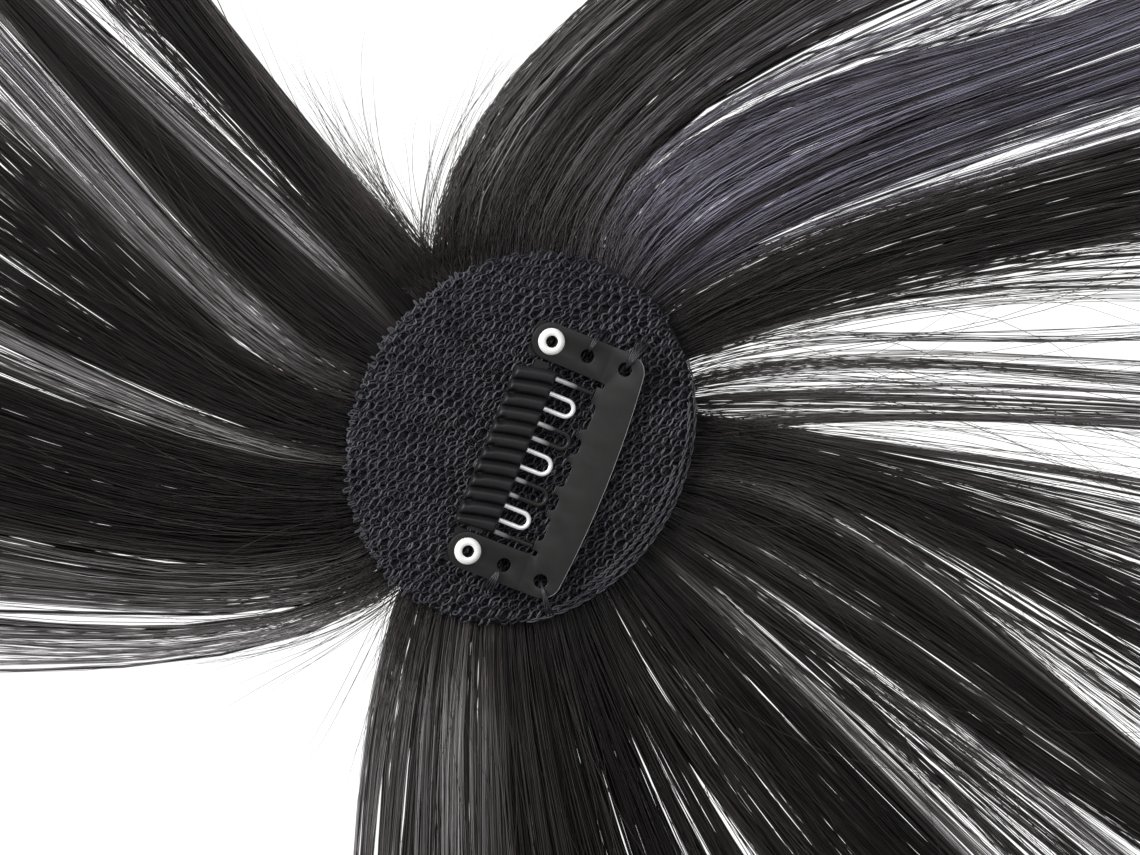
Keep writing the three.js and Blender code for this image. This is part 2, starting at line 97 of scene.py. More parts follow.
FLOW = np.array([
    # direction at each of FLOW_RADII, parting, strands per degree, height, lightness: the lock's tone with
    # painted sheen in it, coolness: a painted blue-grey sheen
    (1, 2.6, 1.8, -2, 0.95, 11, 1.8, 0.5, 0.0),
    (5, 4.2, 2.5, -1.6, 0.95, 17, 1.8, 0.45, 0.0),
    (8, 5.6, 3.1, -1.2, 0.95, 3, 1.8, 0.6, 0.0),
    (11, 7.5, 4.0, -0.5, 0.95, 18, 1.9, 0.5, 0.0),
    (14, 10.5, 5.5, 1, 0.95, 3, 2.0, 0.6, 0.0),
    (17.5, 13.9, 7.6, 3, 0.95, 18, 2.0, 0.5, 0.0),
    (21, 17.1, 10.2, 5.3, 0.95, 3, 2.0, 0.6, 0.0),
    (22.7, 18.8, 12, 6.9, 0.95, 13, 2.0, 0.45, 0.0),
    (24.3, 20.6, 14.4, 8.9, 0.95, 3, 2.1, 0.5, 0.0),
    (26, 22.5, 17, 11, 0.85, 18, 2.2, 0.4, 0.0),
    (28, 25.5, 21, 14, 0.3, 25, 2.8, 0.2, 0.0),
    (34, 31, 26, 18, 0.3, 25, 3.0, 0.22, 0.0),
    (38, 34.5, 28.5, 21, 0.55, 22, 3.0, 0.4, 0.1),
    (42.5, 38.5, 31.5, 24, 0.88, 15, 3.0, 0.65, 0.5),
    (46, 42, 35, 27, 0.4, 30, 3.6, 0.76, 0.8),
    (56, 52.5, 42, 34, 0.35, 30, 3.8, 0.76, 0.8),
    (66.5, 64, 48, 40, 0.6, 28, 3.6, 0.74, 0.7),
    (69, 66.5, 53, 44, 0.7, 27, 3.4, 0.62, 0.3),
    (80, 73.5, 60, 50, 0.4, 28, 3.8, 0.54, 0.2),
    (95, 85, 67, 56, 0.45, 27, 3.8, 0.48, 0.1),
    (108, 94.5, 72.5, 60, 0.6, 22, 3.2, 0.58, 0.0),
    (116.9, 101.5, 76.5, 63, 0.8, 12, 2.2, 0.75, 0.0),
    (117, 122, 125, 124.5, 0.6, 15, 2.2, 0.55, 0.0),
    (124, 126.5, 128, 127, 0.25, 27, 3.2, 0.1, 0.0),
    (132, 131.5, 131, 129, 0.25, 27, 3.4, 0.08, 0.0),
    (136, 135.5, 136.5, 135, 0.86, 17, 3.0, 0.7, 0.1),
    (139, 138.5, 138, 136, 0.8, 20, 3.0, 0.82, 0.1),
    (143, 142, 140, 138, 0.25, 27, 3.2, 0.1, 0.0),
    (155, 151, 143.5, 141, 0.35, 27, 3.2, 0.12, 0.0),
    (160, 154.5, 146, 143, 0.8, 19, 2.8, 0.95, 0.1),
    (166, 160, 150, 146, 0.72, 21, 2.8, 0.9, 0.1),
    (170, 164, 155, 150, 0.3, 27, 3.2, 0.1, 0.0),
    (182, 176, 167.5, 160, 0.35, 27, 3.0, 0.15, 0.0),
    (186, 179.5, 171, 163, 0.7, 21, 3.0, 0.9, 0.0),
    (190, 183, 174.5, 166, 0.25, 27, 3.2, 0.1, 0.0),
    (208, 200, 188, 178, 0.3, 27, 3.4, 0.1, 0.0),
    (219, 210, 196, 186, 0.5, 25, 3.2, 0.6, 0.0),
    (230.5, 222, 208, 196, 0.8, 16, 2.4, 0.7, 0.0),
    (231.5, 240, 250, 256, 0.7, 16, 2.2, 0.6, 0.0),
    (240, 246.5, 254, 259, 0.5, 25, 3.0, 0.71, 0.0),
    (252, 256.5, 262, 265, 0.5, 25, 3.2, 0.69, 0.0),
    (262, 265, 268, 270, 0.35, 27, 3.6, 0.54, 0.0),
    (284, 285, 287, 288, 0.3, 27, 3.6, 0.1, 0.0),
    (300, 300.5, 302.5, 304, 0.45, 27, 3.6, 0.3, 0.0),
    (315, 315, 315, 315.5, 0.4, 27, 3.0, 0.12, 0.0),
    (321.5, 320.5, 318.5, 317, 0.88, 19, 2.6, 0.74, 0.0),
    (325, 324, 322, 321, 0.5, 25, 3.0, 0.25, 0.0),
    (328.5, 328, 326, 324, 0.92, 16, 2.6, 0.8, 0.0),
    (332, 331, 329, 327, 0.35, 27, 3.2, 0.1, 0.0),
    (336.5, 335, 331.5, 329, 0.75, 22, 3.2, 0.5, 0.0),
    (342, 340, 335, 331, 0.35, 27, 3.2, 0.1, 0.0),
    (350, 348, 339, 334, 0.75, 22, 3.2, 0.5, 0.0),
    (356, 353.5, 347, 341, 0.35, 27, 3.2, 0.12, 0.0),
    (367, 361.5, 357.5, 350, 0.8, 15, 2.4, 0.45, 0.0),
])
SECTORS = [
    # piece, from, to, the open gaps on either side of it
    ("hair_right", 1, 44, 1, 116.9),
    ("hair_top_right", 44, 67.5, 1, 116.9),
    ("hair_top", 67.5, 116.9, 1, 116.9),
    ("hair_upper_left", 117, 168, 117, 230.5),
    ("hair_lower_left", 168, 230.5, 117, 230.5),
    ("hair_bottom", 231.5, 291, 231.5, 367),
    ("hair_lower_right", 291, 367, 231.5, 367),
]
STRAYS = [
    # piece, from, to, count, reach, sway
    ("hair_top", 98, 122, 220, 40, 3.2),
    ("hair_upper_left", 112, 128, 230, 44, 3.2),
    ("hair_lower_left", 218, 236, 90, 40, 2.6),
    ("hair_bottom", 228, 246, 90, 38, 2.6),
    ("hair_right", 0, 44, 110, 90, 5),
    ("hair_top_right", 44, 66, 30, 90, 5),
    ("hair_top", 66, 100, 30, 90, 5),
    ("hair_upper_left", 128, 168, 60, 90, 5),
    ("hair_lower_left", 168, 214, 50, 90, 5),
    ("hair_bottom", 246, 291, 50, 90, 5),
    ("hair_lower_right", 291, 368, 120, 90, 5),
]


def tubes(name, paths, widths, sides, tones_and_painted_light=None):
    """Many closed tubes as one mesh: paths (n, stations, 3) in millimetres, widths (n, stations)."""
    count, stations, _ = paths.shape
    ahead = np.gradient(paths, axis=1)
    ahead /= np.linalg.norm(ahead, axis=2, keepdims=True)
    across = np.cross(ahead, (0.0, 0.0, 1.0)) + 1e-9
    across /= np.linalg.norm(across, axis=2, keepdims=True)
    above = np.cross(across, ahead)
    turn = np.arange(sides) * 2 * math.pi / sides + math.pi / 2
    ring = across[:, :, None] * np.cos(turn)[:, None] + above[:, :, None] * np.sin(turn)[:, None]
    points = (paths[:, :, None] + ring * widths[:, :, None, None] / 2) * MM
    tube = np.arange(count)[:, None, None] * stations * sides
    here = tube + np.arange(stations - 1)[:, None] * sides + np.arange(sides)
    beside = tube + np.arange(stations - 1)[:, None] * sides + (np.arange(sides) + 1) % sides
    quads = np.stack([here, here + sides, beside + sides, beside], -1).reshape(-1)
    ends = np.arange(count)[:, None] * stations * sides
    first = ends + np.arange(sides)
    last = ends + (stations - 1) * sides + np.arange(sides)[::-1]
    corners = np.concatenate([quads, np.stack([first, last], 1).reshape(-1)])
    lengths = np.concatenate([np.full(len(quads) // 4, 4), np.full(2 * count, sides)])
    mesh = bpy.data.meshes.new(name)
    mesh.vertices.add(count * stations * sides)
    mesh.vertices.foreach_set("co", points.reshape(-1))
    mesh.loops.add(len(corners))
    mesh.loops.foreach_set("vertex_index", corners.astype(np.int32))
    mesh.polygons.add(len(lengths))
    mesh.polygons.foreach_set("loop_start", (np.cumsum(lengths) - lengths).astype(np.int32))
    mesh.polygons.foreach_set("use_smooth", np.ones(len(lengths), bool))
    mesh.update(calc_edges=True)
    # Each tube's tone goes to all its points; for hair and net it holds painted light and shade besides the
    # colour's own tone.
    if tones_and_painted_light is not None:
        tone_and_painted_light = mesh.attributes.new("tone_and_painted_light", "FLOAT_COLOR", "POINT")
        tone_and_painted_light.data.foreach_set("color", np.repeat(tones_and_painted_light, stations * sides, axis=0).reshape(-1))
    return mesh


def handed_over(name, mesh, material, slot, *nodes, body="root"):
    """Makes a finished mesh a piece of the object that rides on a body and stands for its nodes."""
    piece = in_scene(name, mesh)
    mesh.materials.append(material)
    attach(piece, body)
    if nodes:
        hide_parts(*nodes)
    return piece


def new_material(name):
    material = bpy.data.materials.new(name)
    material.use_nodes = True
    nodes = material.node_tree.nodes
    return material, nodes, material.node_tree.links, nodes["Principled BSDF"]


def textured(nodes, links, kind, scale, detail=None):
    """A texture that lies on the piece's own coordinates."""
    texture = nodes.new(kind)
    texture.inputs["Scale"].default_value = scale
    if detail is not None:
        texture.inputs["Detail"].default_value = detail
    links.new(nodes.new("ShaderNodeTexCoord").outputs["Object"], texture.inputs["Vector"])
    return texture


def ramp(nodes, links, value, low, high):
    """Colours that run from a low one to a high one with a value."""
    colours = nodes.new("ShaderNodeValToRGB")
    colours.color_ramp.elements[0].color = (*low, 1)
    colours.color_ramp.elements[1].color = (*high, 1)
    links.new(value, colours.inputs["Fac"])
    return colours


def ranged(nodes, links, value, low, high):
    """A value brought from 0 to 1 into another range."""
    mapped = nodes.new("ShaderNodeMapRange")
    mapped.inputs["To Min"].default_value = low
    mapped.inputs["To Max"].default_value = high
    links.new(value, mapped.inputs["Value"])
    return mapped.outputs["Result"]


def column(number, place):
    """One column of FLOW at directions between its rows."""
    return np.interp(place, FLOW[:, 0], FLOW[:, number])


def direction(place, radius, low, high):
    """Where a strand lies that leaves the base's edge at a place: one smooth curve through FLOW_RADII."""
    inside = np.clip(place, low, high)
    far = np.log(np.maximum(radius, FAN_FROM))
    knots = np.log(FLOW_RADII)
    turned = (place - inside) * BORDER_GIVE
    for number, knot in enumerate(knots):
        others = np.delete(knots, number)
        share = np.prod([(far - other) / (knot - other) for other in others], axis=0)
        turned = turned + column(number, inside) * share
    return np.radians(turned)


def laid(angle, radius, z):
    """Paths at a direction, a distance and a height, kept under the net where they pass below it."""
    z = np.minimum(z, np.interp(radius, *UNDER_NET))
    return np.stack([radius * np.cos(angle), radius * np.sin(angle), z], -1)


def sector_of_hair(start, end, low, high):
    """Strands that start evenly under the base and draw together into wisps on their way out."""
    grid = np.linspace(start, end, 400)
    strands = column(DENSITY, grid)
    count = int(strands.mean() * (end - start))
    own = np.interp(rng.uniform(0, 1, count), np.cumsum(strands) / strands.sum(), grid)
    wisps = int((end - start) / WISP_SPACING)
    middle = start + (np.arange(wisps) + 0.5) * (end - start) / wisps + rng.normal(0, 0.5, wisps)
    joined = own + rng.normal(0, 1.0, count)
    wisp = np.abs(joined[:, None] - middle).argmin(1)
    group = rng.integers(0, WISP_GROUPS, count)
    parting = column(PARTING, own)
    looseness = 1.45 - 0.85 * parting
    within = rng.normal(0, 0.3, (wisps, WISP_GROUPS))[wisp, group] + rng.normal(0, 0.38, count)
    within *= looseness * rng.uniform(0.5, 1.5, wisps)[wisp]
    core = rng.uniform(0, 1, count) < CORE_SHARE * (1 - parting)
    free = (rng.uniform(0, 1, count) > 0.2 + 0.68 * parting) | core
    pull = np.where(free, rng.uniform(0, 0.5, count), rng.uniform(0.8, 1, count))
    way = np.linspace(0, 1, STRAND_STATIONS) ** 1.35
    begin = rng.uniform(ROOTS_FROM, ROOTS_TO, count)[:, None]
    finish_at = HAIR_REACH * rng.beta(*TIPS_NEAR_REACH, count)[:, None]
    radius = begin + (finish_at - begin) * way
    delay = rng.uniform(-3, 12, wisps)[wisp, None]
    gathered = np.interp(radius - delay, *WISP_GATHERS) * pull[:, None]
    place = own[:, None] + (middle[wisp] + within - own)[:, None] * gathered
    wisp_sway = rng.normal(0, 0.5, wisps)[wisp, None]
    place += wisp_sway * np.sin(radius / 16 + rng.uniform(0, 6, wisps)[wisp, None])
    strand_sway = rng.normal(0, 0.13, (count, 1))
    place += strand_sway * np.sin(radius / 10 + rng.uniform(0, 6, (count, 1)))
    place += rng.normal(0, 0.7, (count, 1)) * free[:, None] * np.clip(radius / 60 - 0.4, 0, 1)
    layer = rng.uniform(0.3, 0.85, (wisps, WISP_GROUPS))[wisp, group] + rng.normal(0, 0.14, count)
    layer = np.where(core, CORE_LAYER, layer)
    rise = np.interp(radius, *LOCK_RISE)
    z = 0.12 + np.clip(layer, 0.02, 1)[:, None] * column(HEIGHT, own)[:, None] * rise
    tones_and_painted_light = np.ones((count, 4))
    lightness_with_painted_light = column(TONE_AND_SHEEN, own)
    light = rng.normal(0, 0.1, wisps)[wisp] + rng.normal(0, 0.17, (wisps, WISP_GROUPS))[wisp, group]
    light += rng.normal(0, 0.08, count)
    # A share of strands is lifted lighter: painted highlight streaks along the locks.
    light += np.where(rng.uniform(0, 1, count) < HIGHLIGHT_STRAND_SHARE, PAINTED_HIGHLIGHT_LIFT, 0)
    light *= (0.25 + 1.2 * lightness_with_painted_light) * (0.4 + 0.8 * parting)
    tones_and_painted_light[:, 0] = np.where(core, CORE_TONE, np.clip(lightness_with_painted_light + light, 0, 1))
    tones_and_painted_light[:, 1] = np.clip(column(BLUE_SHEEN, own) + rng.normal(0, 0.12, count), 0, 1)
    tones_and_painted_light[:, 2] = rng.uniform(0, 1, count)
    thinned = (1.2 - 0.6 * parting) * rng.uniform(0.7, 1.15, count)
    widths = STRAND_WIDTH * np.where(core, CORE_WIDTH, thinned)
    return laid(direction(place, radius, low, high), radius, z), tones_and_painted_light, widths


def stray_hair(name, start, end, count, reach, sway):
    """Loose strands that lie roughly as their lock does, and curve away from it as they please."""
    way = np.linspace(0, 1, STRAND_STATIONS) ** 1.1
    radius = ROOTS_TO + (reach * rng.uniform(0.55, 1.3, (count, 1)) - ROOTS_TO) * way
    swing = rng.normal(0, sway, (count, 1)) * way + rng.normal(0, sway, (count, 1)) * way ** 2
    low, high = next(row[3:] for row in SECTORS if row[0] == name)
    place = rng.uniform(start, end, (count, 1)) + swing * 0.5
    angle = direction(place, radius, low, high) + np.radians(swing)
    z = 0.4 + rng.uniform(1, 4, (count, 1)) * np.sin(np.clip(way * 2.6 + 0.5, 0, 3.0))
    widths = STRAND_WIDTH * rng.uniform(0.4, 0.7, count)
    return laid(angle, radius, z), np.ones((count, 4)) * STRAY_TONE, widths


hair = {}
for name, *reach in SECTORS:
    hair[name] = [sector_of_hair(*reach)]
for row in STRAYS:
    hair[row[0]].append(stray_hair(*row))

hair_material, nodes, links, shader = new_material("hair")
tone_and_painted_light = nodes.new("ShaderNodeAttribute")
tone_and_painted_light.attribute_name = "tone_and_painted_light"
channels = nodes.new("ShaderNodeSeparateColor")
links.new(tone_and_painted_light.outputs["Color"], channels.inputs["Color"])
# The colours run from dark brown up to the light greys of painted sheen and highlights.
BROWNS = [
    (0.25, (0.0197, 0.0160, 0.0152, 1)),
    (0.5, (0.068, 0.057, 0.053, 1)),
    (0.75, (0.20, 0.187, 0.187, 1)),
]
# Painted shadow: strands are darkened towards the base, to half their tone within 22 mm of its middle and
# to full tone at 35 mm, where the locks above shade them.
from_base = nodes.new("ShaderNodeVectorMath")
from_base.operation = "LENGTH"
links.new(nodes.new("ShaderNodeTexCoord").outputs["Object"], from_base.inputs[0])
root_painted_shadow = nodes.new("ShaderNodeMapRange")
root_painted_shadow.inputs["From Min"].default_value = 0.022
root_painted_shadow.inputs["From Max"].default_value = 0.035
root_painted_shadow.inputs["To Min"].default_value = 0.5
links.new(from_base.outputs["Value"], root_painted_shadow.inputs["Value"])
lightness_with_painted_light = nodes.new("ShaderNodeMath")
lightness_with_painted_light.operation = "MULTIPLY"
links.new(root_painted_shadow.outputs["Result"], lightness_with_painted_light.inputs[0])
links.new(channels.outputs["Red"], lightness_with_painted_light.inputs[1])
brown = ramp(nodes, links, lightness_with_painted_light.outputs["Value"], (0.0078, 0.0063, 0.0061), (0.48, 0.46, 0.46))
for position, colour in BROWNS:
    brown.color_ramp.elements.new(position).color = colour
# Painted sheen: strands with coolness in their green tone channel are tinted blue-grey, where the top right
# lock shines.
blue_sheen_tint = nodes.new("ShaderNodeMix")
blue_sheen_tint.data_type = "RGBA"
blue_sheen_tint.blend_type = "MULTIPLY"
blue_sheen_tint.inputs["B"].default_value = (0.96, 0.97, 1.32, 1)
links.new(channels.outputs["Green"], blue_sheen_tint.inputs["Factor"])
links.new(brown.outputs["Color"], blue_sheen_tint.inputs["A"])
streak = textured(nodes, links, "ShaderNodeTexNoise", 90, 1)
shade = nodes.new("ShaderNodeMix")
shade.data_type = "RGBA"
shade.blend_type = "MULTIPLY"
shade.inputs["Factor"].default_value = 0.4
links.new(blue_sheen_tint.outputs["Result"], shade.inputs["A"])
links.new(streak.outputs["Fac"], shade.inputs["B"])
links.new(shade.outputs["Result"], shader.inputs["Base Color"])
links.new(ranged(nodes, links, channels.outputs["Blue"], 0.28, 0.45), shader.inputs["Roughness"])
shader.inputs["Specular IOR Level"].default_value = 0.35

taper = np.interp(np.linspace(0, 1, STRAND_STATIONS), *STRAND_TAPER)
for name, made in hair.items():
    paths, tones_and_painted_light, widths = (np.concatenate(arrays) for arrays in zip(*made))
    mesh = tubes(name, paths, widths[:, None] * taper, STRAND_SIDES, tones_and_painted_light)
    handed_over(name, mesh, hair_material, "hair", "hair")

# The net base: three layers of soft knitted net over a closed dark sheet, cut to an oval; the sheet is
# painted shade, standing for the shaded wefts and hair under the net.
# It is sewn over the wefts, so it is pillowed, with its cut loops standing out on the left.
BASE_LENGTH = 48.4
BASE_WIDTH = 41.8
BASE_TURN = 58
NET_EDGE_TOP = 4.6
NET_RISE = 2.6
SHADE_SHEET_DEPTH = 1.05
SHADE_SHEET_INSIDE = 0.5
SHADE_SHEET_WALL = 0.4
SHADE_SHEET_RINGS = 24
SHADE_SHEET_STEPS = 144
CELL = 1.15
CELL_STRETCH = 1.4
THREAD = 0.23
NET_LAYERS = [
    # turn, depth under the top, shift along, shift across, trimmed inside the edge, lightness: painted
    # shade, darker for the deeper layers
    (43, 0.14, 0.0, 0.0, 0.3, 1.0),
    (36, 0.36, 0.9, 0.4, 0.1, 0.7),
    (50, 0.60, 0.3, 1.1, 0.5, 0.4),
]
THREAD_SHARES = [1.15, 0.9, 1.15]
# Painted light: the threads on each of a cell's three sides are lit by their direction, one side light and
# two shaded.
SIDE_PAINTED_LIGHT = [0.3, 1.0, 0.05]
KNOT_PULL = 0.16
THREAD_BOW = 0.09
THREAD_LIFT = (-0.05, 0.09)
TONE_SPREAD = 0.16


def edge_of_base(angle):
    """How far the oval's edge is from its middle at a direction."""
    along = BASE_WIDTH / 2 * np.cos(angle - math.radians(BASE_TURN))
    across = BASE_LENGTH / 2 * np.sin(angle - math.radians(BASE_TURN))
    return BASE_LENGTH * BASE_WIDTH / 4 / np.hypot(along, across)


def net_top(x, y):
    """The height of the pillowed top of the net."""
    share = np.minimum(np.hypot(x, y) / edge_of_base(np.arctan2(y, x)), 1.0)
    return NET_EDGE_TOP + NET_RISE * (1 - share ** 4)


def net_layer(turn, depth, along_shift, across_shift, trim, lightness_with_painted_light):
    """The threads of one layer: the sides of stretched six-sided cells, each thread with knotted ends."""
    turn = math.radians(turn)
    rows = np.arange(-int(BASE_LENGTH / CELL), int(BASE_LENGTH / CELL))
    row, column, side = (axis.ravel() for axis in np.meshgrid(rows, rows, np.arange(3), indexing="ij"))
    middle = np.stack([(column + 0.5 * (row % 2)) * CELL, row * CELL * math.sqrt(3) / 2], -1)
    reach = CELL / math.sqrt(3)

    def knot(number):
        corner = np.radians(60 * number + 30)
        return middle + reach * np.stack([np.cos(corner), np.sin(corner)], -1)

    def moved(knots):
        """The same knot is pulled the same way in each thread that meets there."""
        pull = np.sin(knots[:, 0] * 1.9 + knots[:, 1] * 0.7 + depth * 9) * KNOT_PULL
        push = np.sin(knots[:, 1] * 2.3 - knots[:, 0] * 0.9 + depth * 5) * KNOT_PULL
        u = (knots[:, 0] + pull) * CELL_STRETCH + along_shift
        v = (knots[:, 1] + push) / CELL_STRETCH ** 0.3 + across_shift
        along, across = math.cos(turn), math.sin(turn)
        return np.stack([u * along - v * across, u * across + v * along], -1)

    ends = moved(knot(side))
    others = moved(knot(side + 1))
    away = np.maximum(
        np.hypot(*ends.T) / edge_of_base(np.arctan2(ends[:, 1], ends[:, 0])),
        np.hypot(*others.T) / edge_of_base(np.arctan2(others[:, 1], others[:, 0])),
    )
    kept = away < 1 - trim / BASE_WIDTH * 2
    ends, others = ends[kept], others[kept]
    tones_and_painted_light = np.ones((len(ends), 4))
    uneven = rng.normal(0, TONE_SPREAD, len(ends))
    tone_and_painted_light = (np.take(SIDE_PAINTED_LIGHT, side[kept]) + uneven).clip(0, 1) * lightness_with_painted_light
    tones_and_painted_light[:, :3] = tone_and_painted_light[:, None]
    way = np.linspace(0, 1, len(THREAD_SHARES))[:, None]
    flat = ends[:, None] * (1 - way) + others[:, None] * way
    bow = rng.normal(0, THREAD_BOW, (len(flat), 1)) * np.sin(way[:, 0] * math.pi)
    heading = others - ends
    heading /= np.linalg.norm(heading, axis=1, keepdims=True)
    flat[..., 0] -= bow * heading[:, 1:]
    flat[..., 1] += bow * heading[:, :1]
    lift = rng.uniform(*THREAD_LIFT, (len(flat), 1)) * np.sin(way[:, 0] * math.pi)
    z = net_top(flat[..., 0], flat[..., 1]) - depth + lift
    return np.concatenate([flat, z[..., None]], -1), tones_and_painted_light


net_material, nodes, links, shader = new_material("net_thread")
patchiness = textured(nodes, links, "ShaderNodeTexNoise", 260, 4)
tone_and_painted_light = nodes.new("ShaderNodeAttribute")
tone_and_painted_light.attribute_name = "tone_and_painted_light"
faded = nodes.new("ShaderNodeMath")
faded.operation = "MULTIPLY"
links.new(tone_and_painted_light.outputs["Fac"], faded.inputs[0])
links.new(patchiness.outputs["Fac"], faded.inputs[1])
yarn = ramp(nodes, links, faded.outputs["Value"], (0.010, 0.010, 0.0135), (0.122, 0.122, 0.140))
yarn.color_ramp.elements[1].position = 0.7
links.new(yarn.outputs["Color"], shader.inputs["Base Color"])
shader.inputs["Roughness"].default_value = 0.6
shader.inputs["Specular IOR Level"].default_value = 0.2

# A dark sheet with a fine cell bump: painted shade under the net threads.
shade_sheet_material, nodes, links, shader = new_material("net_shade_sheet")
weave = textured(nodes, links, "ShaderNodeTexVoronoi", 1400)
bump = nodes.new("ShaderNodeBump")
bump.inputs["Strength"].default_value = 0.8
bump.inputs["Distance"].default_value = 0.0002
links.new(weave.outputs["Distance"], bump.inputs["Height"])
links.new(bump.outputs["Normal"], shader.inputs["Normal"])
dark = ramp(nodes, links, weave.outputs["Distance"], (0.006, 0.006, 0.009), (0.021, 0.021, 0.029))
links.new(dark.outputs["Color"], shader.inputs["Base Color"])
shader.inputs["Roughness"].default_value = 0.85
shader.inputs["Specular IOR Level"].default_value = 0.15

for number, row in enumerate(NET_LAYERS, 1):
    paths, tones_and_painted_light = net_layer(*row)
    widths = THREAD * rng.uniform(0.8, 1.15, (len(paths), 1)) * np.array(THREAD_SHARES)
    mesh = tubes(f"net_layer_{number}", paths, widths, 4, tones_and_painted_light)
    handed_over(f"net_layer_{number}", mesh, net_material, "net", "net_base")


def corners_of(made):
    """The corners among what an operator made."""
    return [item for item in made["geom"] if isinstance(item, bmesh.types.BMVert)]


# The closed dark sheet under the net is painted shade, in place of the shaded wefts below it.
shade_sheet = bmesh.new()
bmesh.ops.create_circle(shade_sheet, cap_ends=True, cap_tris=True, segments=SHADE_SHEET_STEPS, radius=1)
spokes = [edge for edge in shade_sheet.edges if min(v.co.length for v in edge.verts) < 0.5]
bmesh.ops.subdivide_edges(shade_sheet, edges=spokes, cuts=SHADE_SHEET_RINGS, use_grid_fill=True)
for corner in shade_sheet.verts:
    angle = math.atan2(corner.co.y, corner.co.x)
    reach = corner.co.length * (edge_of_base(angle) - SHADE_SHEET_INSIDE)
    x, y = reach * math.cos(angle), reach * math.sin(angle)
    corner.co = (x, y, net_top(x, y) - SHADE_SHEET_DEPTH)
lower = bmesh.ops.extrude_face_region(shade_sheet, geom=shade_sheet.faces[:])
bmesh.ops.translate(shade_sheet, vec=(0, 0, -SHADE_SHEET_WALL), verts=corners_of(lower))
bmesh.ops.recalc_face_normals(shade_sheet, faces=shade_sheet.faces)
bmesh.ops.transform(shade_sheet, matrix=Matrix.Scale(MM, 4), verts=shade_sheet.verts)
mesh = bpy.data.meshes.new("net_shade_sheet")
shade_sheet.to_mesh(mesh)
shade_sheet.free()
mesh.shade_smooth()
net_shade_sheet = handed_over("net_shade_sheet", mesh, shade_sheet_material, "net", "net_base")

# The folded hem: at the lower right the net is turned under, and its doubled edge shows as rows of
# thread that run along the edge. On the left the net is cut raw, and its loops stick out.
HEM_ROWS = [
    # inside the edge, from, to, depth
    (0.35, 272, 385, 0.3),
    (1.1, 280, 372, 0.1),
    (1.9, 292, 350, 0.02),
]
HEM_STATIONS = 60
HEM_STITCH = 1.25
HEM_SWAY = 0.16
HEM_LIFT = 0.1
HEM_TONE = 0.6
LOOPS_FROM, LOOPS_TO, LOOPS = 108, 232, 62
LOOP_STATIONS = 11
LOOP_REACH = 1.15
LOOP_WIDTHS = (0.12, 0.42)
LOOP_ROOT = 1.1
LOOP_STRETCH = 1.2
LOOPS_RADIUS = 22
LOOP_TONE = 0.45
hem_paths = []
for inside, start, end, depth in HEM_ROWS:
    for phase in (0, math.pi):
        angle = np.radians(np.linspace(start, end, HEM_STATIONS))
        weave_way = np.arange(HEM_STATIONS) * HEM_STITCH + phase
        reach = edge_of_base(angle) - inside + HEM_SWAY * np.sin(weave_way)
        x, y = reach * np.cos(angle), reach * np.sin(angle)
        hem_paths.append(np.stack([x, y, net_top(x, y) - depth + HEM_LIFT * np.cos(weave_way)], -1))
widths = np.full((len(hem_paths), HEM_STATIONS), THREAD)
mesh = tubes("net_hem", np.array(hem_paths), widths, 6, np.full((len(hem_paths), 4), HEM_TONE))
net_hem = handed_over("net_hem", mesh, net_material, "net", "net_base")

way = np.linspace(-1, 1, LOOP_STATIONS)
loop_angle = np.radians(np.linspace(LOOPS_FROM, LOOPS_TO, LOOPS) + rng.normal(0, 0.8, LOOPS))[:, None]
loop_width = rng.uniform(*LOOP_WIDTHS, (LOOPS, 1))
loop_reach = rng.uniform(0.35, 1, (LOOPS, 1)) * LOOP_REACH
turned = np.sin(way * math.pi / 2) * loop_width / LOOPS_RADIUS * (1 + 0.4 * np.cos(way * math.pi))
angle = loop_angle + turned
reach = edge_of_base(loop_angle) - LOOP_ROOT + loop_reach * (1 + np.cos(way * math.pi)) / 2 * LOOP_STRETCH
x, y = reach * np.cos(angle), reach * np.sin(angle)
z = net_top(x, y) - 0.5 + rng.uniform(-0.2, 0.3, (LOOPS, 1))
widths = np.full((LOOPS, LOOP_STATIONS), THREAD)
mesh = tubes("net_loops", np.stack([x, y, z], -1), widths, 6, np.full((LOOPS, 4), LOOP_TONE))
net_loops = handed_over("net_loops", mesh, net_material, "net", "net_base")

# The snap clip's frame: one plate of sprung steel with a sewn bar and two arms that rise from a crease.
# It is stamped, its edges are rolled slightly round, and it has a satin black enamel.
CLIP_PLACE = (3.07, -2.7, 7.5)
CLIP_TURN = -21.8
CLIP_LENGTH = 32
STEEL = 0.6
STEEL_ROUNDING = 0.13
RIM_PAINTED_HIGHLIGHT = 0.75
BAR_INNER = 2.5
BAR_END_OUTER = 7.5
BAR_MIDDLE_OUTER = 8.2
BAR_CORNER = 2.5
POCKET_DEPTH = 0.9
POCKET_ROUNDING = 0.32
SEWING_HOLE = 1.7
SEWING_HOLE_SHIFT = 0.2
ARM_WIDTH = 4.6
ARM_REACH = 10.1
ARM_LIFT = 12
ARM_HOLE_REACH = 2.85
CREASE = BAR_INNER + STEEL / 2
CREASE_WIDTH = 0.35
RIVET_REACH = 7.75
RIVET_SPAN = CLIP_LENGTH - ARM_WIDTH
RIVET_BORE = 1.2
RIVET_WALL = 0.3
GAP = 0.3
CLIP_HALF = CLIP_LENGTH / 2
ARM_INNER = CLIP_HALF - ARM_WIDTH
POCKETS = [
    # middle, half width, as shares of ARM_INNER
    (0.965, 0.028),
    (0.605, 0.15),
    (0.26, 0.088),
    (-0.061, 0.14),
    (-0.386, 0.088),
    (-0.689, 0.136),
    (-0.965, 0.028),
]
clip = Matrix.Translation(CLIP_PLACE) @ Matrix.Rotation(math.radians(CLIP_TURN), 4, "Z")
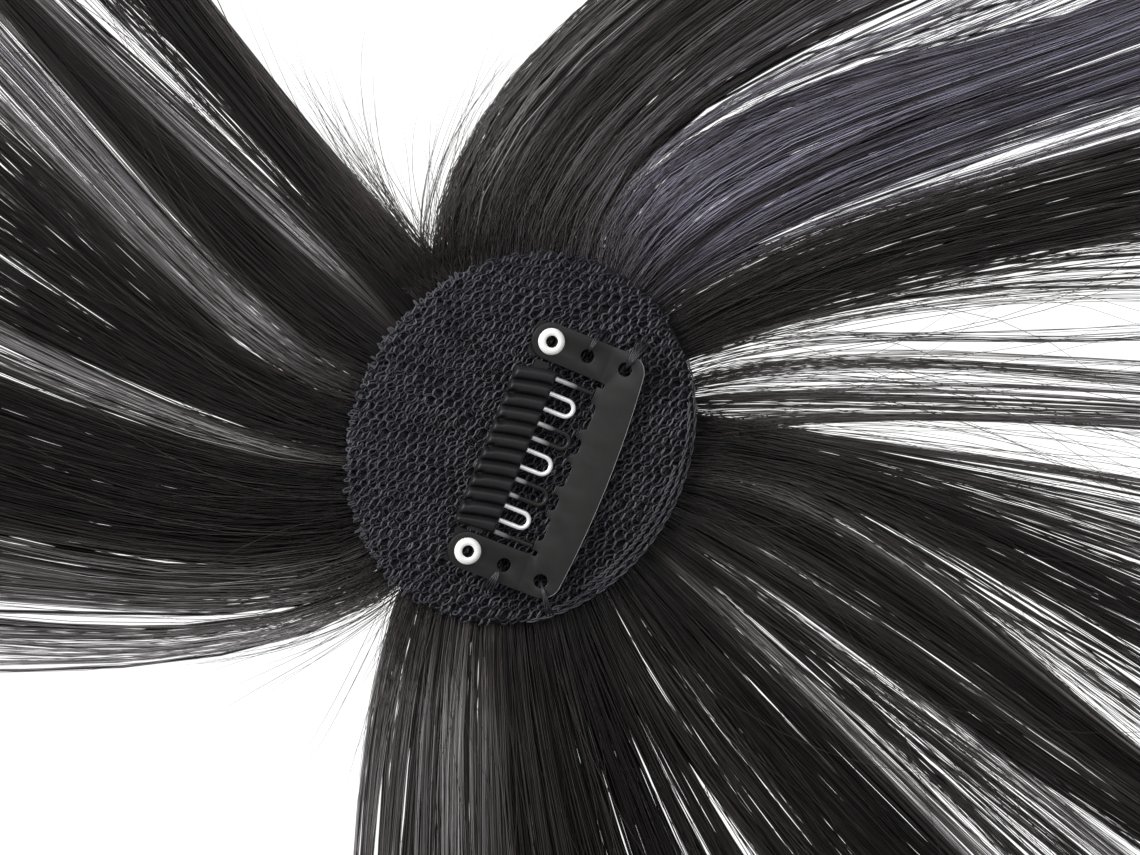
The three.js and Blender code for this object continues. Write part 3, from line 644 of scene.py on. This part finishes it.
arms = clip @ Matrix.Translation((CREASE, 0, 0)) @ Matrix.Rotation(math.radians(ARM_LIFT), 4, "Y")
comb = arms @ Matrix.Translation((-RIVET_REACH, 0, 0))


def arc(x, y, radius, start, end, steps):
    """Points along part of a circle."""
    turns = [math.radians(start + (end - start) * step / steps) for step in range(steps + 1)]
    return [(x + radius * math.cos(turn), y + radius * math.sin(turn)) for turn in turns]


def circle(x, y, diameter):
    """Points round a hole."""
    return arc(x, y, diameter / 2, 0, 345, 23)


def frame_outline():
    """The frame unrolled flat, from the end of the top arm, down the pockets, and back up the bar."""
    radius = ARM_WIDTH / 2
    arm_end = CREASE - ARM_REACH + radius
    deep = BAR_INNER + POCKET_DEPTH
    points = arc(arm_end, CLIP_HALF - radius, radius, 90, 270, 16)
    for middle, half in POCKETS:
        top, bottom = (middle + half) * ARM_INNER, (middle - half) * ARM_INNER
        rounding = min(top - bottom, 2 * POCKET_DEPTH) * POCKET_ROUNDING
        slot = abs(middle) > 0.9
        if not slot or middle < 0:
            points.append((BAR_INNER, top))
        points += arc(deep - rounding, top - rounding, rounding, 90, 0, 4)
        points += arc(deep - rounding, bottom + rounding, rounding, 0, -90, 4)
        if not slot or middle > 0:
            points.append((BAR_INNER, bottom))
    points += arc(arm_end, radius - CLIP_HALF, radius, 90, 270, 16)
    straight = CLIP_HALF - BAR_CORNER
    corner = BAR_END_OUTER - BAR_CORNER
    points += arc(corner, -straight, BAR_CORNER, 270, 360, 8)
    for step in range(1, 16):
        y = -straight + straight * step / 8
        bow = (BAR_MIDDLE_OUTER - BAR_END_OUTER) * (1 - (y / straight) ** 2)
        points.append((BAR_END_OUTER + bow, y))
    points += arc(corner, straight, BAR_CORNER, 0, 90, 8)
    return points


def drawn(shape, points):
    """A closed line through the points, ready to be filled."""
    corners = [shape.verts.new((x, y, 0)) for x, y in points]
    for a, b in zip(corners, corners[1:] + corners[:1]):
        shape.edges.new((a, b))


def finished(shape, name, place):
    """A shape made in millimetres, as a mesh in its place on the object."""
    bmesh.ops.transform(shape, matrix=Matrix.Scale(MM, 4) @ place, verts=shape.verts)
    mesh = bpy.data.meshes.new(name)
    shape.to_mesh(mesh)
    shape.free()
    mesh.shade_smooth()
    mesh.set_sharp_from_angle(angle=math.radians(42))
    return mesh


shape = bmesh.new()
drawn(shape, frame_outline())
for end in (-1, 1):
    middle = end * (CLIP_HALF - ARM_WIDTH / 2)
    bar_middle = (BAR_INNER + BAR_END_OUTER) / 2
    drawn(shape, circle(bar_middle, middle + end * SEWING_HOLE_SHIFT, SEWING_HOLE))
    drawn(shape, circle(CREASE - ARM_HOLE_REACH, middle, SEWING_HOLE))
    drawn(shape, circle(CREASE - RIVET_REACH, end * RIVET_SPAN / 2, RIVET_BORE + 2 * (RIVET_WALL + GAP)))
bmesh.ops.triangle_fill(shape, edges=shape.edges, use_beauty=True)
for x in (CREASE, CREASE - CREASE_WIDTH):
    everything = shape.verts[:] + shape.edges[:] + shape.faces[:]
    bmesh.ops.bisect_plane(shape, geom=everything, plane_co=(x, 0, 0), plane_no=(1, 0, 0))
raised = bmesh.ops.extrude_face_region(shape, geom=shape.faces[:])
bmesh.ops.translate(shape, vec=(0, 0, STEEL), verts=corners_of(raised))
bmesh.ops.recalc_face_normals(shape, faces=shape.faces)
rims = [edge for edge in shape.edges
        if abs(edge.verts[0].co.z - edge.verts[1].co.z) < 0.01 and edge.calc_face_angle(0) > 1]
bmesh.ops.bevel(shape, geom=rims, affect="EDGES", offset=STEEL_ROUNDING, segments=3, profile=0.5,
                material=-1, clamp_overlap=True)
wear_and_painted_light = shape.verts.layers.float.new("wear_and_painted_light")
# A thin line along the middle of the bar's rounded outer rim is marked to show as bare steel: a painted
# highlight.
for corner in shape.verts:
    under_top = (STEEL - corner.co.z) / STEEL_ROUNDING
    on_rim = corner.co.x > BAR_END_OUTER - BAR_CORNER * 0.6 and 0.05 < under_top < 0.95
    corner[wear_and_painted_light] = RIM_PAINTED_HIGHLIGHT if on_rim else 0
bend = Matrix.Rotation(math.radians(ARM_LIFT), 4, "Y")
for corner in shape.verts:
    if corner.co.x < CREASE:
        corner.co = bend @ (corner.co - Vector((CREASE, 0, 0))) + Vector((CREASE, 0, 0))

MOTTLE_SOCKETS = [
    ("Scale", "INPUT", "NodeSocketFloat"),
    ("Detail", "INPUT", "NodeSocketFloat"),
    ("Low", "INPUT", "NodeSocketColor"),
    ("High", "INPUT", "NodeSocketColor"),
    ("Color", "OUTPUT", "NodeSocketColor"),
    ("Fac", "OUTPUT", "NodeSocketFloat"),
]
mottle = bpy.data.node_groups.new("mottle", "ShaderNodeTree")
for name, way_of_socket, kind in MOTTLE_SOCKETS:
    mottle.interface.new_socket(name, in_out=way_of_socket, socket_type=kind)
given = mottle.nodes.new("NodeGroupInput").outputs
put_out = mottle.nodes.new("NodeGroupOutput").inputs
coordinates = mottle.nodes.new("ShaderNodeTexCoord")
noise = mottle.nodes.new("ShaderNodeTexNoise")
between = mottle.nodes.new("ShaderNodeMix")
between.data_type = "RGBA"
for source, target in (
    (coordinates.outputs["Object"], noise.inputs["Vector"]),
    (given["Scale"], noise.inputs["Scale"]),
    (given["Detail"], noise.inputs["Detail"]),
    (noise.outputs["Fac"], between.inputs["Factor"]),
    (given["Low"], between.inputs["A"]),
    (given["High"], between.inputs["B"]),
    (between.outputs["Result"], put_out["Color"]),
    (noise.outputs["Fac"], put_out["Fac"]),
):
    mottle.links.new(source, target)


def mottled(nodes, scale, detail, low, high):
    """The mottle group in a material, with that finish's own grain and its two colours."""
    placed = nodes.new("ShaderNodeGroup")
    placed.node_tree = mottle
    placed.inputs["Scale"].default_value = scale
    placed.inputs["Detail"].default_value = detail
    placed.inputs["Low"].default_value = (*low, 1)
    placed.inputs["High"].default_value = (*high, 1)
    return placed


enamel_material, nodes, links, shader = new_material("black_enamel")
grain = mottled(nodes, 500, 6, (0.0085, 0.0081, 0.0079), (0.0165, 0.0157, 0.0153))
# The mask read here holds real wear and painted light: where it is high the black enamel gives way to
# bright bare steel, as a painted highlight.
patchiness = nodes.new("ShaderNodeAttribute")
patchiness.attribute_name = "wear_and_painted_light"
uneven = nodes.new("ShaderNodeMath")
uneven.operation = "MULTIPLY_ADD"
uneven.inputs[1].default_value = 0.6
uneven.inputs[2].default_value = -0.3
links.new(grain.outputs["Fac"], uneven.inputs[0])
worn_and_highlit = nodes.new("ShaderNodeMath")
worn_and_highlit.operation = "ADD"
worn_and_highlit.use_clamp = True
links.new(patchiness.outputs["Fac"], worn_and_highlit.inputs[0])
links.new(uneven.outputs["Value"], worn_and_highlit.inputs[1])
bare = nodes.new("ShaderNodeMapRange")
bare.inputs["From Min"].default_value = 0.15
links.new(worn_and_highlit.outputs["Value"], bare.inputs["Value"])
steel = nodes.new("ShaderNodeMix")
steel.data_type = "RGBA"
steel.inputs["B"].default_value = (0.93, 0.93, 0.95, 1)
links.new(bare.outputs["Result"], steel.inputs["Factor"])
links.new(grain.outputs["Color"], steel.inputs["A"])
links.new(steel.outputs["Result"], shader.inputs["Base Color"])
half_metal = nodes.new("ShaderNodeMath")
half_metal.operation = "MULTIPLY"
half_metal.inputs[1].default_value = 0.55
links.new(bare.outputs["Result"], half_metal.inputs[0])
links.new(half_metal.outputs["Value"], shader.inputs["Metallic"])
links.new(ranged(nodes, links, grain.outputs["Fac"], 0.3, 0.48), shader.inputs["Roughness"])
peel = nodes.new("ShaderNodeBump")
peel.inputs["Strength"].default_value = 0.15
peel.inputs["Distance"].default_value = 0.0001
links.new(grain.outputs["Fac"], peel.inputs["Height"])
links.new(peel.outputs["Normal"], shader.inputs["Normal"])
shader.inputs["Specular IOR Level"].default_value = 0.3
handed_over("clip_plate", finished(shape, "clip_plate", clip), enamel_material, "black_steel", "clip_frame")
for node in ("comb_tab_top", "comb_tab_bottom"):
    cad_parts[node].data.materials.clear()
    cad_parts[node].data.materials.append(enamel_material)

# The comb: a steel strip bent to and fro into twelve legs, whose rounded ends snap into the pockets.
# Past the grip its legs are bright bare steel, the short loops all along, partly enamel rubbed off by the
# hair and partly a painted highlight; behind the grip and towards the long legs' tips they keep the black
# enamel as painted shade, and the lower legs are kept duller.
COMB_STEEL = 0.5
LEG_WIDTH = 0.58
COMB_BACK = 3.1
SHORT_TOOTH = 6.1
LONG_TOOTH = 7.1
END_LEG = 7.3
GRIP_BACK = 2.95
GRIP_FRONT = 2.2
GRIP_LEAN = 1.05
LEG_FROM, LEG_TO = 1, 2.5
LEG_SHARES = [
    0.851, 0.684, 0.509, 0.342, 0.175, 0.035,
    -0.158, -0.298, -0.474, -0.605, -0.772, -0.904,
]
LEGS = [share * ARM_INNER for share in LEG_SHARES]
LEG_TURN_STEPS = 12
SHORT_LOOPS = (1, 5, 9)
SHORT_LOOP_HALF = 1.3
SHORT_LOOP_WEAR_AND_HIGHLIGHT = 1.3
LEG_WEAR_AND_PAINTED_LIGHT = ([1.9, 2.3, 3.6, 4.6, 5.6, 7], [-0.3, 0.8, 0.7, 0.25, -0.2, -0.4])
LOWER_LEGS_DULL = 0.25


def leaned(x, y):
    """How far the root of the comb leans towards the lower end, short of the tab there."""
    room = min(1, (y + ARM_INNER - GAP) / 2)
    return -GRIP_LEAN * room * max(0, (GRIP_FRONT - x) / (GRIP_FRONT + GRIP_BACK)) ** 1.4


def comb_route():
    """The comb's strip from the first leg to the last, to and fro."""
    route = []
    for number, (y, following) in enumerate(zip(LEGS, LEGS[1:] + [None])):
        outward = number % 2 == 1
        long = number % 4 in (0, 3) and 0 < number < len(LEGS) - 1
        front = LONG_TOOTH if long else SHORT_TOOTH
        if number == 0:
            route += [(END_LEG, y), (LEG_TO, y), (LEG_FROM, y)]
        if following is None:
            route += [(LEG_FROM, y), (LEG_TO, y), (END_LEG, y)]
            break
        radius = (y - following) / 2
        middle = front - radius - LEG_WIDTH / 2 if outward else radius + LEG_WIDTH / 2 - COMB_BACK
        turns = arc(middle, (y + following) / 2, radius, 90, -90 if outward else 270, LEG_TURN_STEPS)
        if outward:
            route += [(LEG_FROM, y), (LEG_TO, y), *turns, (LEG_TO, following), (LEG_FROM, following)]
        else:
            route += turns
    return [(x, y + leaned(x, y)) for x, y in route]


def drawn_bar(route, width, thickness, sides=12):
    """A rounded bar that follows a flat route, closed at both ends."""
    shape = bmesh.new()
    around = bmesh.ops.create_circle(shape, cap_ends=False, segments=sides, radius=0.5)["verts"]
    edges = shape.edges[:]
    before = Matrix.Identity(4)
    for number, (x, y) in enumerate(route):
        back = route[max(number - 1, 0)]
        ahead = route[min(number + 1, len(route) - 1)]
        heading = Vector((ahead[0] - back[0], ahead[1] - back[1], 0)).normalized()
        side = Vector((-heading.y, heading.x, 0)) * width
        section = Matrix((side, (0, 0, thickness), heading)).transposed().to_4x4()
        section.translation = (x, y, thickness / 2)
        if number:
            grown = bmesh.ops.extrude_edge_only(shape, edges=edges)
            around = corners_of(grown)
            edges = [item for item in grown["geom"] if isinstance(item, bmesh.types.BMEdge)]
        bmesh.ops.transform(shape, matrix=section @ before.inverted(), verts=around)
        before = section
    bmesh.ops.holes_fill(shape, edges=shape.edges, sides=0)
    bmesh.ops.recalc_face_normals(shape, faces=shape.faces)
    return shape


wires = drawn_bar(comb_route(), LEG_WIDTH, COMB_STEEL)
wear_and_painted_light = wires.verts.layers.float.new("wear_and_painted_light")
# Painted light on the comb: bare steel past the grip and along the short loops is partly wear and partly a
# painted highlight; the black kept behind the grip and towards the tips is painted shade.
for corner in wires.verts:
    x, y = corner.co.x, corner.co.y
    bright = np.interp(x, *LEG_WEAR_AND_PAINTED_LIGHT)
    in_short = any(abs(y - (LEGS[leg] + LEGS[leg + 1]) / 2) < SHORT_LOOP_HALF for leg in SHORT_LOOPS)
    dull = LOWER_LEGS_DULL if y < LEGS[7] + 0.4 else 0
    corner[wear_and_painted_light] = (SHORT_LOOP_WEAR_AND_HIGHLIGHT if in_short and x > GRIP_FRONT else bright) - dull
for end, leg in ((1, LEGS[0]), (-1, LEGS[-1])):
    neck = bmesh.ops.create_cube(wires, size=1)["verts"]
    reach = ARM_INNER - GAP - abs(leg)
    bmesh.ops.scale(wires, vec=(LEG_WIDTH * 3, reach, COMB_STEEL), verts=neck)
    bmesh.ops.translate(wires, vec=(0, leg + end * reach / 2, COMB_STEEL / 2), verts=neck)
comb_bottom = (STEEL - COMB_STEEL) / 2
wires_place = comb @ Matrix.Translation((0, 0, comb_bottom))
handed_over("comb_wires", finished(wires, "comb_wires", wires_place), enamel_material, "bright_steel",
            "comb_plate", body="comb")

# The grip: a strip of dark grey rubber moulded over the comb's root, with a broad rib over each leg.
# Between each pair of legs a small hole is left at the back, where the mould held the comb.
GRIP_WALL = 0.5
RIB_HEIGHT = 0.6
GRIP_HALF = ARM_INNER - 0.85
GRIP_ROUNDING = 0.45
GRIP_OVER_COMB = 0.02
MOULD_HOLE = 0.8
MOULD_HOLE_INSET = 0.75
MOULD_HOLE_SPREAD = 0.16
grip = bmesh.new()
bmesh.ops.create_grid(grip, x_segments=30, y_segments=192, size=0.5)
for corner in grip.verts:
    x = (corner.co.x + 0.5) * (GRIP_BACK + GRIP_FRONT) - GRIP_BACK
    y = corner.co.y * 2 * GRIP_HALF
    rib = (GRIP_HALF - y) / (2 * GRIP_HALF) * len(LEGS)
    crest = 1 - abs(2 * (rib % 1) - 1) ** 3
    to_end = min(x + GRIP_BACK, GRIP_FRONT - x)
    rounding = math.sqrt(max(0, 1 - max(0, 1 - to_end / GRIP_ROUNDING) ** 2))
    z = (GRIP_WALL * 0.5 + (RIB_HEIGHT + GRIP_WALL * 0.5) * crest) * (0.35 + 0.65 * rounding)
    for hole in range(2, len(LEGS), 2):
        hole_y = GRIP_HALF - 2 * GRIP_HALF * hole / len(LEGS)
        away = (x + GRIP_BACK - MOULD_HOLE_INSET) ** 2 + (y - hole_y) ** 2
        z -= MOULD_HOLE * math.exp(-away / MOULD_HOLE_SPREAD)
    corner.co = (x, y + leaned(x, y), max(z, 0.08))
lower = bmesh.ops.extrude_face_region(grip, geom=grip.faces[:])
for corner in corners_of(lower):
    corner.co.z = 0
bmesh.ops.recalc_face_normals(grip, faces=grip.faces)

rubber_material, nodes, links, shader = new_material("rubber")
bloom = mottled(nodes, 420, 5, (0.004, 0.004, 0.0045), (0.018, 0.018, 0.020))
links.new(bloom.outputs["Color"], shader.inputs["Base Color"])
shader.inputs["Roughness"].default_value = 0.45
shader.inputs["Specular IOR Level"].default_value = 0.27
grip_place = comb @ Matrix.Translation((0, 0, comb_bottom + COMB_STEEL + GRIP_OVER_COMB))
handed_over("rubber_grip", finished(grip, "rubber_grip", grip_place), rubber_material, "silicone",
            "grip_strip", body="comb")

# The eyelets: two hollow rivets of bright white metal, rolled over on top, that hold the comb's ends
# under the arms.
RIVET_HEAD = 3.3
RIVET_FOOT = 2.8
EYELET_PROFILE = [
    # radius, height over the underside of the arm
    (RIVET_BORE / 2, -1.4),
    (RIVET_FOOT / 2, -1.4),
    (RIVET_FOOT / 2, -1.1),
    (RIVET_BORE / 2 + RIVET_WALL, -1.1),
    (RIVET_BORE / 2 + RIVET_WALL, 0.75),
    (RIVET_HEAD / 2 - 0.08, 0.75),
    (RIVET_HEAD / 2, 0.9),
    (RIVET_HEAD / 2 - 0.08, 1.1),
    (RIVET_HEAD / 2 - 0.35, 1.26),
    (RIVET_BORE / 2 + 0.45, 1.3),
    (RIVET_BORE / 2 + 0.15, 1.22),
    (RIVET_BORE / 2, 1.0),
]
eyelet_material, nodes, links, shader = new_material("eyelet")
white = mottled(nodes, 700, 2, (0.86, 0.86, 0.85), (0.97, 0.97, 0.96))
links.new(white.outputs["Color"], shader.inputs["Base Color"])
shader.inputs["Roughness"].default_value = 0.35
shader.inputs["Metallic"].default_value = 0.15
for side, end in (("top", 1), ("bottom", -1)):
    shape = bmesh.new()
    corners = [shape.verts.new((radius, 0, height)) for radius, height in EYELET_PROFILE]
    for a, b in zip(corners, corners[1:] + corners[:1]):
        shape.edges.new((a, b))
    bmesh.ops.spin(shape, geom=shape.verts[:] + shape.edges[:], cent=(0, 0, 0), axis=(0, 0, 1),
                   angle=2 * math.pi, steps=40, use_merge=True)
    bmesh.ops.remove_doubles(shape, verts=shape.verts, dist=0.001)
    bmesh.ops.recalc_face_normals(shape, faces=shape.faces)
    # The faces inside the bore take the black enamel: painted shade in the hole.
    for face in shape.faces:
        middle = face.calc_center_median()
        face.material_index = 1 if math.hypot(middle.x, middle.y) < RIVET_BORE / 2 + 0.1 else 0
    rivet_place = comb @ Matrix.Translation((0, end * RIVET_SPAN / 2, 0))
    eyelet = handed_over(f"eyelet_{side}", finished(shape, f"eyelet_{side}", rivet_place), eyelet_material,
                         "rivet", f"rivet_{side}")
    eyelet.data.materials.append(enamel_material)

# The sewing: black thread looped through the clip's four holes and over its edge into the net.
SEWING = [
    # hole x, hole y, where the stitches go down: x, y, stitches
    (5.0, 13.9, 5.8, 17.9, 5),
    (-0.05, 13.7, 0.6, 17.3, 3),
    (5.0, -13.9, 7.6, -17.4, 3),
    (-0.05, -13.7, -0.6, -17.3, 4),
]
STITCH_STATIONS = 14
STITCH_SPREAD = 0.4
SEWING_THREAD = 0.26
OVER_BAR = STEEL * 1.6
OVER_ARM = OVER_BAR + 0.6
stitches_made = []
for hole_x, hole_y, down_x, down_y, stitches in SEWING:
    for number in range(stitches):
        spread = (number - (stitches - 1) / 2) * STITCH_SPREAD
        way = np.linspace(0, 1, STITCH_STATIONS)
        out = np.array([down_x - hole_x, down_y - hole_y])
        aside = np.array([-out[1], out[0]]) / np.hypot(*out)
        x = hole_x + out[0] * way + aside[0] * spread * way
        y = hole_y + out[1] * way + aside[1] * spread * way
        over = OVER_BAR if hole_x > CREASE else OVER_ARM
        z = np.interp(way, [0, 0.12, 0.3, 0.62, 0.85, 1], [-0.5, 0.4, over, over, 0.1, -0.9])
        stitches_made.append([tuple(clip @ Vector(point)) for point in zip(x, y, z)])
thread_material, nodes, links, shader = new_material("sewing_thread")
twist = textured(nodes, links, "ShaderNodeTexWave", 900)
black = ramp(nodes, links, twist.outputs["Fac"], (0.006, 0.006, 0.009), (0.020, 0.020, 0.025))
links.new(black.outputs["Color"], shader.inputs["Base Color"])
shader.inputs["Roughness"].default_value = 0.5
paths = np.array(stitches_made)
mesh = tubes("sewing", paths, np.full(paths.shape[:2], SEWING_THREAD), 6)
handed_over("sewing", mesh, thread_material, "net")

# The studio: a plain white floor under wide soft light, so that the gaps between the locks are white.
floor_mesh = bpy.data.meshes.new("floor")
shape = bmesh.new()
bmesh.ops.create_grid(shape, x_segments=1, y_segments=1, size=2.0)
shape.to_mesh(floor_mesh)
shape.free()
floor = in_scene("floor", floor_mesh)
floor_material, nodes, links, shader = new_material("floor")
shader.inputs["Base Color"].default_value = (0.1, 0.1, 0.1, 1)
shader.inputs["Roughness"].default_value = 0.9
shader.inputs["Specular IOR Level"].default_value = 0.1
shader.inputs["Emission Color"].default_value = (1, 1, 1, 1)
shader.inputs["Emission Strength"].default_value = 1.05
floor_mesh.materials.append(floor_material)

world = bpy.data.worlds.new("studio")
bpy.context.scene.world = world
world.use_nodes = True
world.node_tree.nodes["Background"].inputs["Color"].default_value = (1, 1, 1, 1)
world.node_tree.nodes["Background"].inputs["Strength"].default_value = 0.35
LAMPS = [
    # name, azimuth, elevation, distance, size, watts
    ("key", 150, 40, 0.9, 0.4, 9),
    ("fill", 60, 65, 1.0, 0.5, 3),
]
for name, azimuth, elevation, distance, size, watts in LAMPS:
    lamp = in_scene(name, bpy.data.lights.new(name, "AREA"))
    lamp.data.shape = "SQUARE"
    lamp.data.size = size
    lamp.data.energy = watts
    a, e = math.radians(azimuth), math.radians(elevation)
    lamp.location = Vector((math.cos(a) * math.cos(e), math.sin(a) * math.cos(e), math.sin(e))) * distance
    lamp.rotation_euler = (-lamp.location).to_track_quat("-Z", "Y").to_euler()
bpy.context.scene.view_settings.view_transform = "Standard"
